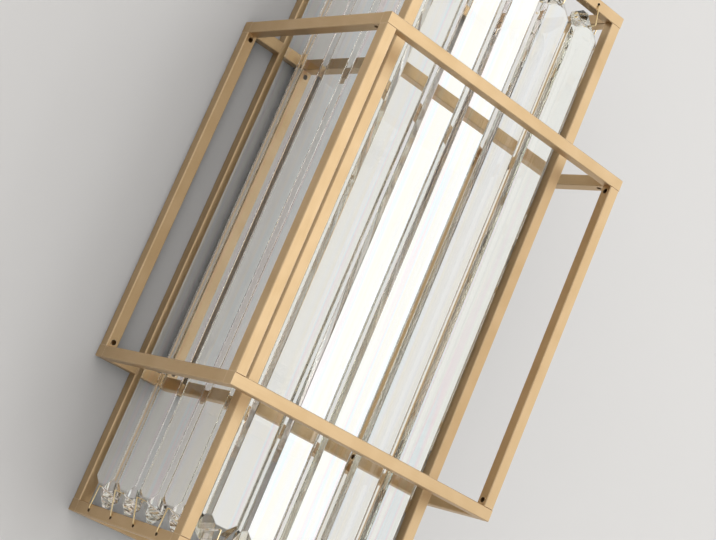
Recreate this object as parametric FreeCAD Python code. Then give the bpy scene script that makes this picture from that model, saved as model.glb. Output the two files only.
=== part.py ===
import FreeCAD, Part
import math
import os
from FreeCAD import Placement, Rotation, Vector

# Crystal wall sconce. Millimetres. X is to the right, +Y goes into the wall, Z is up.
# The origin is on the wall plane, at the middle of the wall bracket.

# Two welded frames of square tube, one wide and low, one narrow and tall, share the wall plane.
TUBE = 8.0
TUBE_WALL = 1.0
TUBE_EDGE = 0.5
OUTER_W = 220.0
OUTER_D = 158.0
OUTER_H = 243.0
INSET = 28.0
INNER_H = 446.0
INNER_RISE = 7.0

# Holes that let plating fluid drain out of the closed tubes.
VENT_D = 3.6
VENT_FROM_JOINT = 3.6
RAIL_VENT_FROM_POST = 7.0

# Crystal bars: bevelled flats with pointed ends, one hole at each end. Raked facets cut both front corners of
# an end, and run on towards the point by the rake for each millimetre of depth.
BAR_W = 25.0
BAR_THICK = 10.0
BAR_FRONT_BEVEL = 2.5
BAR_BACK_BEVEL = 2.0
BAR_END_GAP = 1.0
BAR_SET_BACK = 1.0
TIP_LENGTH = 19.5
TIP_FRONT_W = 9.0
TIP_FRONT_LENGTH = 13.0
TIP_FRONT_DEPTH = 6.0
TIP_RAKE = 1.3
TIP_BACK_LENGTH = 8.0
TIP_BACK_DEPTH = 1.0
BAR_HOLE_D = 1.6
BAR_HOLE_FROM_END = 11.5
FRONT_COUNT = 5
FRONT_PITCH = 28.5
SIDE_COUNT = 4
SIDE_PITCH = 27.5

# Wire pins: staples with one leg in the rail and one through the crystal. Each wire stands off its crystal by
# its own amount, measured outwards from the rail's face, in the same order along every row.
WIRE_D = 1.0
RAIL_HOLE_D = 2.6
PIN_IN_RAIL = 5.0
PIN_PAST_BAR = 1.5
PIN_STANDS_OFF = (-0.6, 4.8, 4.2, -0.6, 4.4)

# Back plate: a pressed pan that fills the opening between the low frame's back rails.
PAN_W = 120.0
PAN_DEPTH = 14.0
PAN_SHEET = 1.2
PAN_CORNER = 2.5
FRAME_SCREW_X = 40.0
FRAME_SCREW_LENGTH = 5.0
STUD_CLEARANCE = 0.5

# Wall bracket: a joggled strap that two studs stand on.
STRAP_W = 30.0
STRAP_THICK = 2.0
STRAP_FLAT_HALF = 40.0
STRAP_JOGGLE = 6.0
STRAP_HALF = 62.0
WALL_SLOT_SPACING = 54.0
WALL_SLOT_LENGTH = 10.0
WALL_SLOT_W = 4.5
CABLE_HOLE_D = 10.0
STUD_Z = 54.0
STUD_D = 4.0
STUD_HEAD_D = 8.0
STUD_HEAD_T = 2.4
STUD_TIP_PAST_PAN = 6.0
CAP_NUT_D = 9.0
CAP_NUT_H = 10.0
CAP_NUT_COLLAR = 1.2
CAP_NUT_NECK = 3.8
EARTH_X = 10.5
EARTH_D = 4.0

# Lamps: two capsule lamps in ceramic holders.
LAMP_Z = 84.0
HOLDER_FLANGE_W = 30.0
HOLDER_FLANGE_H = 16.0
HOLDER_FLANGE_T = 3.0
HOLDER_D = 18.0
HOLDER_H = 18.0
HOLDER_SCREW_X = 11.5
SOCKET_W = 14.0
SOCKET_H = 5.0
SOCKET_DEPTH = 8.0
LAMP_D = 13.5
LAMP_LENGTH = 42.0
PINCH_LENGTH = 12.0
PINCH_W = 10.8
LAMP_SHOULDER = 3.0
LAMP_NECK_D = 8.2
SMALL_SCREW_D = 3.0
SMALL_HEAD_D = 5.6
SMALL_HEAD_T = 2.0

# Terminal block, inside the pan beside the bracket.
BLOCK_X = 38.0
BLOCK_W = 30.0
BLOCK_H = 18.0
BLOCK_T = 9.0
BLOCK_WAYS = 3
BLOCK_WELL_D = 4.0
BLOCK_WELL_DEPTH = 2.5
BLOCK_WIRE_D = 3.2

# Worked-out places.
OUTER_X = OUTER_W / 2
OUTER_Z = OUTER_H / 2
INNER_X = OUTER_X - INSET
INNER_FRONT = -(OUTER_D - INSET)
INNER_TOP = INNER_H / 2 + INNER_RISE
INNER_BOTTOM = -INNER_H / 2 + INNER_RISE
BAR_LENGTH = INNER_H - 2 * TUBE - 2 * BAR_END_GAP
BAR_MID_Z = INNER_RISE
SIDE_MID_Y = INNER_FRONT / 2
PAN_HALF_H = OUTER_Z - TUBE


def box(low, high):
    size = [b - a for a, b in zip(low, high)]
    return Part.makeBox(size[0], size[1], size[2], Vector(*low))


def rod(diameter, start, direction, length):
    """A round bar or drill from a start point along a direction."""
    return Part.makeCylinder(diameter / 2, length, Vector(*start), Vector(*direction))


def prism(points, direction):
    """A straight-sided solid from a closed outline and one extrusion."""
    corners = [Vector(*point) for point in points]
    return Part.Face(Part.makePolygon(corners + corners[:1])).extrude(Vector(*direction))


def write(name, shape):
    """Check one node and save it."""
    shape = shape.removeSplitter()
    if not shape.isValid() or shape.Volume <= 0:
        raise ValueError(name + " is not a good solid")
    shape.exportStep("parts/" + name + ".step")
    print(name, len(shape.Solids), round(shape.Volume))


# ---------------------------------------------------------------- frame tubes


def square_tube(low, high, closed=(False, False), vents=()):
    """A square tube with broken edges between two corners. A closed end has its weld-in cap ground flush.

    Each vent or pin hole is (point on the axis of the tube, direction, diameter), and goes through one wall.
    """
    size = [b - a for a, b in zip(low, high)]
    axis = size.index(max(size))
    outside = box(low, high)
    long_edges = [
        edge for edge in outside.Edges
        if abs(abs(edge.tangentAt(edge.FirstParameter)[axis]) - 1) < 1e-6
    ]
    outside = outside.makeChamfer(TUBE_EDGE, long_edges)
    bore_low = [value + TUBE_WALL for value in low]
    bore_high = [value - TUBE_WALL for value in high]
    bore_low[axis] = low[axis] + (TUBE_WALL if closed[0] else -1)
    bore_high[axis] = high[axis] - (TUBE_WALL if closed[1] else -1)
    tube = outside.cut(box(bore_low, bore_high))
    for centre, direction, diameter in vents:
        tube = tube.cut(rod(diameter, centre, direction, TUBE))
    return tube


def post(x, y, bottom, top, vents=()):
    """An upright tube whose low corner is at x, y. It stands between two rails."""
    return square_tube((x, y, bottom), (x + TUBE, y + TUBE, top), vents=vents)


def joint_vents(xs, y, z, direction):
    """Drain holes inside a rail's welded joints, one over each post's bore."""
    return [((x + TUBE / 2, y, z), direction, VENT_D) for x in xs]


def outer_frame():
    """The low, wide frame: full-width front rails, and back rails that stop at the tall frame's posts."""
    post_xs = (-OUTER_X, OUTER_X - TUBE)
    inside_z = OUTER_Z - TUBE
    front_axis = -OUTER_D + TUBE / 2
    back_axis = -TUBE / 2
    vent_zs = (inside_z - VENT_FROM_JOINT, -inside_z + VENT_FROM_JOINT)
    for side, x, inward in (("left", post_xs[0], 1), ("right", post_xs[1], -1)):
        middle = x + TUBE / 2
        inner_vents = [((middle, front_axis, z), (inward, 0, 0), VENT_D) for z in vent_zs]
        write("outer_post_front_" + side, post(x, -OUTER_D, -inside_z, inside_z, inner_vents))
        front_vents = [((middle, back_axis, z), (0, -1, 0), VENT_D) for z in vent_zs]
        write("outer_post_back_" + side, post(x, -TUBE, -inside_z, inside_z, front_vents))

    for level, z, inward in (("top", inside_z, -1), ("bottom", -OUTER_Z, 1)):
        middle = z + TUBE / 2
        vents = joint_vents(post_xs, front_axis, middle, (0, 0, inward))
        rail = square_tube((-OUTER_X, -OUTER_D, z), (OUTER_X, -OUTER_D + TUBE, z + TUBE), (True, True), vents)
        write("outer_front_rail_" + level, rail)
        for side, x in (("left", post_xs[0]), ("right", post_xs[1])):
            vent = ((x + TUBE / 2, -OUTER_D + TUBE + RAIL_VENT_FROM_POST, middle), (0, 0, inward), VENT_D)
            rail = square_tube((x, -OUTER_D + TUBE, z), (x + TUBE, -TUBE, z + TUBE), vents=[vent])
            write("outer_side_rail_" + level + "_" + side, rail)
        stub_vent = joint_vents(post_xs[:1], back_axis, middle, (0, 0, inward))
        stub = square_tube((-OUTER_X, -TUBE, z), (-INNER_X, 0, z + TUBE), (True, False), stub_vent)
        write("outer_back_rail_" + level + "_left", stub)
        stub_vent = joint_vents(post_xs[1:], back_axis, middle, (0, 0, inward))
        stub = square_tube((INNER_X, -TUBE, z), (OUTER_X, 0, z + TUBE), (False, True), stub_vent)
        write("outer_back_rail_" + level + "_right", stub)
        between = INNER_X - TUBE
        screw_holes = [
            ((x, back_axis, middle), (0, 0, inward), SMALL_SCREW_D) for x in (-FRAME_SCREW_X, FRAME_SCREW_X)
        ]
        rail = square_tube((-between, -TUBE, z), (between, 0, z + TUBE), vents=screw_holes)
        write("outer_back_rail_" + level + "_middle", rail)


def row_places(count, pitch, middle=0.0):
    """The centres of a row of evenly spaced crystals."""
    return [middle + (index - (count - 1) / 2) * pitch for index in range(count)]


FRONT_PLACES = row_places(FRONT_COUNT, FRONT_PITCH)
SIDE_PLACES = row_places(SIDE_COUNT, SIDE_PITCH, SIDE_MID_Y)


def inner_frame():
    """The tall, narrow frame that carries the crystals from the pin holes in its end rails."""
    post_xs = (-INNER_X, INNER_X - TUBE)
    low = INNER_BOTTOM + TUBE
    high = INNER_TOP - TUBE
    front_axis = INNER_FRONT + TUBE / 2
    back_axis = -TUBE / 2
    for side, x in (("left", post_xs[0]), ("right", post_xs[1])):
        write("inner_post_front_" + side, post(x, INNER_FRONT, low, high))
        write("inner_post_back_" + side, post(x, -TUBE, low, high))

    for level, z, inward in (("top", high, -1), ("bottom", INNER_BOTTOM, 1)):
        middle = z + TUBE / 2
        holes = [((x, front_axis, middle), (0, -1, 0), RAIL_HOLE_D) for x in FRONT_PLACES]
        holes += joint_vents(post_xs, front_axis, middle, (0, 0, inward))
        ends = (INNER_FRONT, INNER_FRONT + TUBE)
        rail = square_tube((-INNER_X, ends[0], z), (INNER_X, ends[1], z + TUBE), (True, True), holes)
        write("inner_front_rail_" + level, rail)
        vents = joint_vents(post_xs, back_axis, middle, (0, 0, inward))
        rail = square_tube((-INNER_X, -TUBE, z), (INNER_X, 0, z + TUBE), (True, True), vents)
        write("inner_back_rail_" + level, rail)
        for side, x, outward in (("left", post_xs[0], -1), ("right", post_xs[1], 1)):
            holes = [((x + TUBE / 2, y, middle), (outward, 0, 0), RAIL_HOLE_D) for y in SIDE_PLACES]
            rail = square_tube((x, INNER_FRONT + TUBE, z), (x + TUBE, -TUBE, z + TUBE), vents=holes)
            write("inner_side_rail_" + level + "_" + side, rail)


# ---------------------------------------------------------------- crystals and their pins

# A row's own frame: the rail's outer face is y = 0, the room is at -y, and the row's middle is z = 0.


def crystal_bar():
    """One crystal: what its section and its side profile share when extruded, less the raked facets."""
    half_w = BAR_W / 2
    half_l = BAR_LENGTH / 2
    front = BAR_SET_BACK
    back = BAR_SET_BACK + BAR_THICK
    section = [
        (-half_w + BAR_FRONT_BEVEL, front), (half_w - BAR_FRONT_BEVEL, front),
        (half_w, front + BAR_FRONT_BEVEL), (half_w, back - BAR_BACK_BEVEL),
        (half_w - BAR_BACK_BEVEL, back), (-half_w + BAR_BACK_BEVEL, back),
        (-half_w, back - BAR_BACK_BEVEL), (-half_w, front + BAR_FRONT_BEVEL),
    ]
    body = prism([(x, y, -half_l) for x, y in section], (0, 0, BAR_LENGTH))
    profile = [
        (front, half_l - TIP_FRONT_LENGTH), (front, -half_l + TIP_FRONT_LENGTH),
        (front + TIP_FRONT_DEPTH, -half_l), (back - TIP_BACK_DEPTH, -half_l),
        (back, -half_l + TIP_BACK_LENGTH), (back, half_l - TIP_BACK_LENGTH),
        (back - TIP_BACK_DEPTH, half_l), (front + TIP_FRONT_DEPTH, half_l),
    ]
    body = body.common(prism([(-half_w, y, z) for y, z in profile], (BAR_W, 0, 0)))
    steepness = (TIP_LENGTH - TIP_FRONT_LENGTH) / (half_w - TIP_FRONT_W / 2)
    valley = half_l - TIP_FRONT_LENGTH + steepness * TIP_FRONT_W / 2
    corner = valley - steepness * BAR_W
    past_end = half_l + BAR_W
    depth = back + 1 - front
    for end in (1, -1):
        outline = [(-BAR_W, corner), (0, valley), (BAR_W, corner), (BAR_W, past_end), (-BAR_W, past_end)]
        facets = prism([(x, front, end * z) for x, z in outline], (0, depth, end * TIP_RAKE * depth))
        body = body.cut(facets)
    for z in (half_l - BAR_HOLE_FROM_END, -half_l + BAR_HOLE_FROM_END):
        body = body.cut(rod(BAR_HOLE_D, (0, 0, z), (0, 1, 0), back + 1))
    return body


def wire_pin(level, stands_off):
    """A staple of round wire, bent square: one leg in the rail's hole and the other in the crystal's hole.

    The crystal hangs on its top pin: the pin rests on the bottom of the rail's hole and bears on the top of
    the crystal's hole. The bottom pin is its mirror image.
    """
    radius = WIRE_D / 2
    play_in_rail = RAIL_HOLE_D / 2 - radius
    play_in_bar = BAR_HOLE_D / 2 - radius
    rail_z = level * (BAR_LENGTH / 2 + BAR_END_GAP + TUBE / 2 - play_in_rail)
    bar_z = level * (BAR_LENGTH / 2 - BAR_HOLE_FROM_END + play_in_bar)
    corners = [
        Vector(0, PIN_IN_RAIL, rail_z), Vector(0, -radius, rail_z),
        Vector(0, -radius - stands_off, bar_z), Vector(0, BAR_SET_BACK + BAR_THICK + PIN_PAST_BAR, bar_z),
    ]
    circle = Part.Wire([Part.makeCircle(radius, corners[0], Vector(0, 1, 0))])
    mitred = 1
    return Part.makePolygon(corners).makePipeShell([circle], True, False, mitred)


def placed(shape, x, y, turn):
    """A copy of a shape from a row's own frame, turned to its side of the lamp."""
    copy = shape.copy()
    copy.Placement = Placement(Vector(x, y, BAR_MID_Z), Rotation(Vector(0, 0, 1), turn))
    return copy


def crystal_rows():
    """Five crystals across the front, four down each side, each with a pin at its top and bottom."""
    bar = crystal_bar()
    pins = {
        level: [wire_pin(end, stands_off) for stands_off in PIN_STANDS_OFF]
        for level, end in (("top", 1), ("bottom", -1))
    }
    rows = (
        ("front", [(x, INNER_FRONT) for x in FRONT_PLACES], 0),
        ("left", [(-INNER_X, y) for y in SIDE_PLACES], -90),
        ("right", [(INNER_X, y) for y in SIDE_PLACES], 90),
    )
    for row, places, turn in rows:
        for number, (x, y) in enumerate(places, 1):
            write("crystal_" + row + "_" + str(number), placed(bar, x, y, turn))
        for level in pins:
            row_pins = [placed(pin, x, y, turn) for pin, (x, y) in zip(pins[level], places)]
            write("pins_" + row + "_" + level, Part.makeCompound(row_pins))


# ---------------------------------------------------------------- back plate and wall fixing


def screw(diameter, head_d, head_t, length, place, direction):
    """A pan-headed screw. place is the middle of the face under the head, direction points down the shank."""
    shank = Part.makeCylinder(diameter / 2, length)
    head = Part.makeCylinder(head_d / 2, head_t, Vector(0, 0, -head_t))
    rim = [edge for edge in head.Edges if abs(edge.BoundBox.ZMax + head_t) < 1e-6 and edge.isClosed()]
    head = head.makeChamfer(head_t * 0.3, rim[:1])
    body = shank.fuse(head)
    body.Placement = Placement(Vector(*place), Rotation(Vector(0, 0, 1), Vector(*direction)))
    return body


def back_plate():
    """The pan: a flat front with its four sides folded back to the wall."""
    low = (-PAN_W / 2, -PAN_DEPTH, -PAN_HALF_H)
    high = (PAN_W / 2, 0, PAN_HALF_H)
    outside = box(low, high)
    folds = [edge for edge in outside.Edges if edge.BoundBox.YMax < -PAN_DEPTH + 1e-6]
    outside = outside.makeFillet(PAN_CORNER, folds)
    inside = box(
        (low[0] + PAN_SHEET, low[1] + PAN_SHEET, low[2] + PAN_SHEET),
        (high[0] - PAN_SHEET, 1, high[2] - PAN_SHEET),
    )
    folds = [edge for edge in inside.Edges if edge.BoundBox.YMax < -PAN_DEPTH + PAN_SHEET + 1e-6]
    pan = outside.cut(inside.makeFillet(PAN_CORNER - PAN_SHEET, folds))
    through = (0, 1, 0)
    for z in (-STUD_Z, STUD_Z):
        pan = pan.cut(rod(STUD_D + STUD_CLEARANCE, (0, -PAN_DEPTH - 1, z), through, PAN_DEPTH / 2))
    for z in (-LAMP_Z, LAMP_Z):
        pan = pan.cut(rod(HOLDER_D / 2, (0, -PAN_DEPTH - 1, z), through, PAN_DEPTH / 2))
        for x in (-HOLDER_SCREW_X, HOLDER_SCREW_X):
            pan = pan.cut(rod(SMALL_SCREW_D, (x, -PAN_DEPTH - 1, z), through, PAN_DEPTH / 2))
    for x in (-FRAME_SCREW_X, FRAME_SCREW_X):
        for side in (-1, 1):
            start = (x, -TUBE / 2, side * (PAN_HALF_H - 2 * PAN_SHEET))
            pan = pan.cut(rod(SMALL_SCREW_D, start, (0, 0, side), 4 * PAN_SHEET))
    return pan


def wall_bracket():
    """The strap: flat on the wall in the middle, joggled forward at both ends to clear the stud heads."""
    back = 0.0
    lift = -STRAP_JOGGLE
    slope_end = STRAP_FLAT_HALF + STRAP_JOGGLE
    rear = [
        (lift, -STRAP_HALF), (lift, -slope_end), (back, -STRAP_FLAT_HALF),
        (back, STRAP_FLAT_HALF), (lift, slope_end), (lift, STRAP_HALF),
    ]
    front = [(y - STRAP_THICK, z) for y, z in reversed(rear)]
    strap = prism([(-STRAP_W / 2, y, z) for y, z in rear + front], (STRAP_W, 0, 0))
    through = (0, 1, 0)
    for z in (-STUD_Z, STUD_Z):
        strap = strap.cut(rod(STUD_D, (0, -PAN_DEPTH, z), through, PAN_DEPTH))
    strap = strap.cut(rod(CABLE_HOLE_D, (0, -PAN_DEPTH, 0), through, 2 * PAN_DEPTH))
    strap = strap.cut(rod(EARTH_D, (EARTH_X, -PAN_DEPTH, 0), through, 2 * PAN_DEPTH))
    half_run = (WALL_SLOT_LENGTH - WALL_SLOT_W) / 2
    for z in (-WALL_SLOT_SPACING / 2, WALL_SLOT_SPACING / 2):
        for end in (z - half_run, z + half_run):
            strap = strap.cut(rod(WALL_SLOT_W, (0, -PAN_DEPTH, end), through, 2 * PAN_DEPTH))
        half_w = WALL_SLOT_W / 2
        strap = strap.cut(box((-half_w, -PAN_DEPTH, z - half_run), (half_w, PAN_DEPTH, z + half_run)))
    return strap


def cap_nut(z):
    """A round dome nut, turned in one piece, with a collar where it meets the pan."""
    radius = CAP_NUT_D / 2
    neck = CAP_NUT_NECK
    collar = CAP_NUT_COLLAR
    straight = CAP_NUT_H - neck
    profile = Part.Wire([
        Part.makeLine(Vector(0, 0, 0), Vector(radius, 0, 0)),
        Part.makeLine(Vector(radius, 0, 0), Vector(radius, 0, collar)),
        Part.makeLine(Vector(radius, 0, collar), Vector(neck, 0, collar)),
        Part.makeLine(Vector(neck, 0, collar), Vector(neck, 0, straight)),
        Part.Arc(
            Vector(neck, 0, straight),
            Vector(neck * math.sqrt(0.5), 0, straight + neck * math.sqrt(0.5)),
            Vector(0, 0, CAP_NUT_H),
        ).toShape(),
        Part.makeLine(Vector(0, 0, CAP_NUT_H), Vector(0, 0, 0)),
    ])
    nut = Part.Face(profile).revolve(Vector(0, 0, 0), Vector(0, 0, 1), 360)
    nut = Part.Solid(nut) if nut.ShapeType != "Solid" else nut
    nut = nut.cut(Part.makeCylinder(STUD_D / 2, STUD_TIP_PAST_PAN + 1, Vector(0, 0, 0)))
    nut.Placement = Placement(Vector(0, -PAN_DEPTH, z), Rotation(Vector(0, 0, 1), Vector(0, -1, 0)))
    return nut


def wall_fixing():
    """Back plate, its frame screws, the bracket, and the studs and nuts that join the two."""
    write("back_plate", back_plate())
    frame_screws = []
    for x in (-FRAME_SCREW_X, FRAME_SCREW_X):
        for side in (-1, 1):
            under_head = (x, -TUBE / 2, side * (PAN_HALF_H - PAN_SHEET))
            frame_screws.append(
                screw(SMALL_SCREW_D, SMALL_HEAD_D, SMALL_HEAD_T, FRAME_SCREW_LENGTH, under_head, (0, 0, side))
            )
    write("frame_screws", Part.makeCompound(frame_screws))
    write("wall_bracket", wall_bracket())
    stud_length = PAN_DEPTH + STUD_TIP_PAST_PAN - STRAP_JOGGLE
    studs = [
        screw(STUD_D, STUD_HEAD_D, STUD_HEAD_T, stud_length, (0, -STRAP_JOGGLE, z), (0, -1, 0))
        for z in (-STUD_Z, STUD_Z)
    ]
    write("bracket_studs", Part.makeCompound(studs))
    write("cap_nuts", Part.makeCompound([cap_nut(z) for z in (-STUD_Z, STUD_Z)]))
    earth = screw(EARTH_D, STUD_HEAD_D, STUD_HEAD_T, STRAP_THICK, (EARTH_X, -STRAP_THICK, 0), (0, 1, 0))
    write("earth_screw", earth)


# ---------------------------------------------------------------- lamps and terminal block


def lamp_holder(z):
    """A ceramic holder: a flange with two lugs, a round body and a slot for the lamp's pinch."""
    face = -PAN_DEPTH
    half_w = HOLDER_FLANGE_W / 2
    half_h = HOLDER_FLANGE_H / 2
    front = face - HOLDER_FLANGE_T
    flange = box((-half_w, front, z - half_h), (half_w, face, z + half_h))
    upright = [edge for edge in flange.Edges if abs(edge.BoundBox.YLength - HOLDER_FLANGE_T) < 1e-6]
    flange = flange.makeFillet(half_h * 0.6, upright)
    body = flange.fuse(rod(HOLDER_D, (0, face, z), (0, -1, 0), HOLDER_H))
    mouth = face - HOLDER_H
    socket = box(
        (-SOCKET_W / 2, mouth, z - SOCKET_H / 2), (SOCKET_W / 2, mouth + SOCKET_DEPTH, z + SOCKET_H / 2)
    )
    body = body.cut(socket)
    for x in (-HOLDER_SCREW_X, HOLDER_SCREW_X):
        body = body.cut(rod(SMALL_SCREW_D, (x, front - 1, z), (0, 1, 0), HOLDER_FLANGE_T + 2))
    return body


def capsule_lamp(z):
    """A capsule lamp: a round glass envelope with a domed tip, drawn in to a flat pinch at its base."""
    radius = LAMP_D / 2
    pinch_front = -PAN_DEPTH - HOLDER_H + SOCKET_DEPTH
    neck = pinch_front - PINCH_LENGTH
    straight = neck - (LAMP_LENGTH - PINCH_LENGTH - radius)
    profile = Part.Wire([
        Part.makeLine(Vector(0, neck, 0), Vector(LAMP_NECK_D / 2, neck, 0)),
        Part.makeLine(Vector(LAMP_NECK_D / 2, neck, 0), Vector(radius, neck - LAMP_SHOULDER, 0)),
        Part.makeLine(Vector(radius, neck - LAMP_SHOULDER, 0), Vector(radius, straight, 0)),
        Part.Arc(
            Vector(radius, straight, 0),
            Vector(radius * math.sqrt(0.5), straight - radius * math.sqrt(0.5), 0),
            Vector(0, straight - radius, 0),
        ).toShape(),
        Part.makeLine(Vector(0, straight - radius, 0), Vector(0, neck, 0)),
    ])
    envelope = Part.Face(profile).revolve(Vector(0, 0, 0), Vector(0, 1, 0), 360)
    envelope = Part.Solid(envelope) if envelope.ShapeType != "Solid" else envelope
    pinch = box((-PINCH_W / 2, neck, -SOCKET_H / 2), (PINCH_W / 2, pinch_front, SOCKET_H / 2))
    lamp = envelope.fuse(pinch)
    lamp.translate(Vector(0, 0, z))
    return lamp


def terminal_block():
    """A three-way block against the pan, with a screw well and a wire entry for each way."""
    back = -PAN_DEPTH + PAN_SHEET
    front = back + BLOCK_T
    block = box((BLOCK_X - BLOCK_W / 2, back, -BLOCK_H / 2), (BLOCK_X + BLOCK_W / 2, front, BLOCK_H / 2))
    for x in row_places(BLOCK_WAYS, BLOCK_W / BLOCK_WAYS, BLOCK_X):
        block = block.cut(rod(BLOCK_WIRE_D, (x, back + BLOCK_T / 2, -BLOCK_H), (0, 0, 1), 2 * BLOCK_H))
        for z in (-BLOCK_H / 4, BLOCK_H / 4):
            block = block.cut(rod(BLOCK_WELL_D, (x, front - BLOCK_WELL_DEPTH, z), (0, 1, 0), BLOCK_T))
    return block


def electrics():
    """Two lamps in their holders, the holders' screws and the terminal block."""
    holder_screws = []
    for name, z in (("upper", LAMP_Z), ("lower", -LAMP_Z)):
        write("lamp_holder_" + name, lamp_holder(z))
        write("lamp_" + name, capsule_lamp(z))
        for x in (-HOLDER_SCREW_X, HOLDER_SCREW_X):
            under_head = (x, -PAN_DEPTH - HOLDER_FLANGE_T, z)
            length = HOLDER_FLANGE_T + PAN_SHEET + 1
            holder_screws.append(
                screw(SMALL_SCREW_D, SMALL_HEAD_D, SMALL_HEAD_T, length, under_head, (0, 1, 0))
            )
    write("holder_screws", Part.makeCompound(holder_screws))
    write("terminal_block", terminal_block())


os.makedirs("parts", exist_ok=True)
outer_frame()
inner_frame()
crystal_rows()
wall_fixing()
electrics()
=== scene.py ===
# %% [markdown]
# # A crystal wall sconce
# Two interlocking frames of square tube carry thirteen crystal bars round two capsule lamps. The rigid parts come from
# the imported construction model: metres, +Z up, +Y into the wall, origin on the wall behind the bracket. This lesson
# gives each part its finish, and remodels the pieces whose looks need more than a plain solid: the polished arrises of
# the crystals, the bent wire pins, the glass lamps with their filaments and the slotted and crossed screw heads.

# %% Load the frame
import math

import bpy
from mathutils import Matrix, Vector


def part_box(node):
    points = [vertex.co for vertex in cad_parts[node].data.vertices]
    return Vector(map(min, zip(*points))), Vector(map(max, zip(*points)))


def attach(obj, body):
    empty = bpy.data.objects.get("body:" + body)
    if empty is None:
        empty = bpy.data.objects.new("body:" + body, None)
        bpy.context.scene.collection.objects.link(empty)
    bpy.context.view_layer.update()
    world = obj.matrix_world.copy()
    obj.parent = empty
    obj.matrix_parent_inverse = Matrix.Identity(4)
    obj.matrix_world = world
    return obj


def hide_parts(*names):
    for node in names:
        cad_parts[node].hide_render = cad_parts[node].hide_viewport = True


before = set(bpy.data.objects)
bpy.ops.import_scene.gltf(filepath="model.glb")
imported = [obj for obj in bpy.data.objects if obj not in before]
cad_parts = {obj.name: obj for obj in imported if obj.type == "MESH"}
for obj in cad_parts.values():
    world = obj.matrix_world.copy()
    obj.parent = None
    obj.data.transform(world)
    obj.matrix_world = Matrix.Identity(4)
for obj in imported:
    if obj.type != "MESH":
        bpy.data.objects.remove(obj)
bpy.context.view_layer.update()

MM = 0.001
BODY = "root"

# %% [markdown]
# ## The camera
# The photograph looks up at the sconce from its left, with the camera rolled so that the posts lean. Its place was
# worked out from the corners of the low frame, as turns about that frame's front and a distance in frame heights. A
# camera could also be aimed with a Track To constraint, but three turns and an offset keep the roll exact.

# %% Camera from azimuth, elevation, roll and distance
PHOTO_WIDTH_PX = 716
FOCAL_PX = 1825.4
SENSOR_MM = 36.0
AZIMUTH = math.radians(35.21)
ELEVATION = math.radians(-12.27)
ROLL = math.radians(23.04)
AIM_RIGHT, AIM_UP, AIM_AWAY = 0.2123, -0.0119, 4.6101

rail_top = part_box("outer_front_rail_top")
rail_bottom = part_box("outer_front_rail_bottom")
LOW_FRAME_HEIGHT = rail_top[1].z - rail_bottom[0].z
front_centre = Vector((0, rail_top[0].y, (rail_top[1].z + rail_bottom[0].z) / 2))

away = Vector((
    math.sin(AZIMUTH) * math.cos(ELEVATION),
    math.cos(AZIMUTH) * math.cos(ELEVATION),
    -math.sin(ELEVATION),
))
level_right = away.cross(Vector((0, 0, 1))).normalized()
level_up = level_right.cross(away)
right = level_right * math.cos(ROLL) + level_up * math.sin(ROLL)
up = level_up * math.cos(ROLL) - level_right * math.sin(ROLL)
eye = front_centre - LOW_FRAME_HEIGHT * (AIM_RIGHT * right + AIM_UP * up + AIM_AWAY * away)

bpy.ops.object.camera_add()
camera = bpy.context.object
camera.name = "camera"
camera.data.sensor_width = SENSOR_MM
camera.data.lens = FOCAL_PX / PHOTO_WIDTH_PX * SENSOR_MM
camera.matrix_world = Matrix((
    (right.x, up.x, -away.x, eye.x),
    (right.y, up.y, -away.y, eye.y),
    (right.z, up.z, -away.z, eye.z),
    (0, 0, 0, 1),
))
bpy.context.scene.camera = camera
print("camera at", [round(v, 3) for v in eye], "lens", round(camera.data.lens, 1))

# %% [markdown]
# ## Small helpers
# Operators act on whatever is selected, and the loaded parts arrive selected, so every step first selects just the one
# object that it works on. Modifiers are applied at once, so that each finished piece is a plain mesh.

# %% Helpers for selecting, modifiers and finishing a piece


def select_only(obj):
    """Make one object the only selected one, and the active one."""
    bpy.ops.object.select_all(action="DESELECT")
    obj.select_set(True)
    bpy.context.view_layer.objects.active = obj


def apply_modifier(obj, kind, **settings):
    """Add a modifier with these settings and apply it."""
    select_only(obj)
    modifier = obj.modifiers.new(kind.lower(), kind)
    for name, value in settings.items():
        setattr(modifier, name, value)
    bpy.ops.object.modifier_apply(modifier=modifier.name)


def select_faces(obj, wanted):
    """Go into edit mode on obj with only the faces selected whose centre and normal pass the test."""
    bpy.ops.object.mode_set(mode="OBJECT")
    for part in (*obj.data.vertices, *obj.data.edges, *obj.data.polygons):
        part.select = False
    for face in obj.data.polygons:
        if wanted(face.center, face.normal):
            face.select = True
    bpy.ops.object.mode_set(mode="EDIT")
    bpy.ops.mesh.select_mode(type="FACE")


def give_finish(obj, *materials):
    """Put these materials in a mesh's slots, in place of what it has."""
    obj.data.materials.clear()
    for material in materials:
        obj.data.materials.append(material)


def finish_piece(obj, name, material=None, replaces=()):
    """Put a piece's place into its mesh, name it, give it its finish and let it ride with the body."""
    select_only(obj)
    bpy.ops.object.transform_apply(location=True, rotation=True, scale=True)
    obj.name = name
    obj.data.name = name
    if material:
        give_finish(obj, material)
    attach(obj, BODY)
    if replaces:
        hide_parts(*replaces)


def copy_of(obj):
    """A copy of an object with its own mesh, not yet riding on anything."""
    select_only(obj)
    bpy.ops.object.duplicate(linked=False)
    twin = bpy.context.object
    twin.parent = None
    for label in list(twin.keys()):
        del twin[label]
    return twin


def node_box_centre(node):
    """The middle of a construction node's box."""
    low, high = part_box(node)
    return (low + high) / 2
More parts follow.
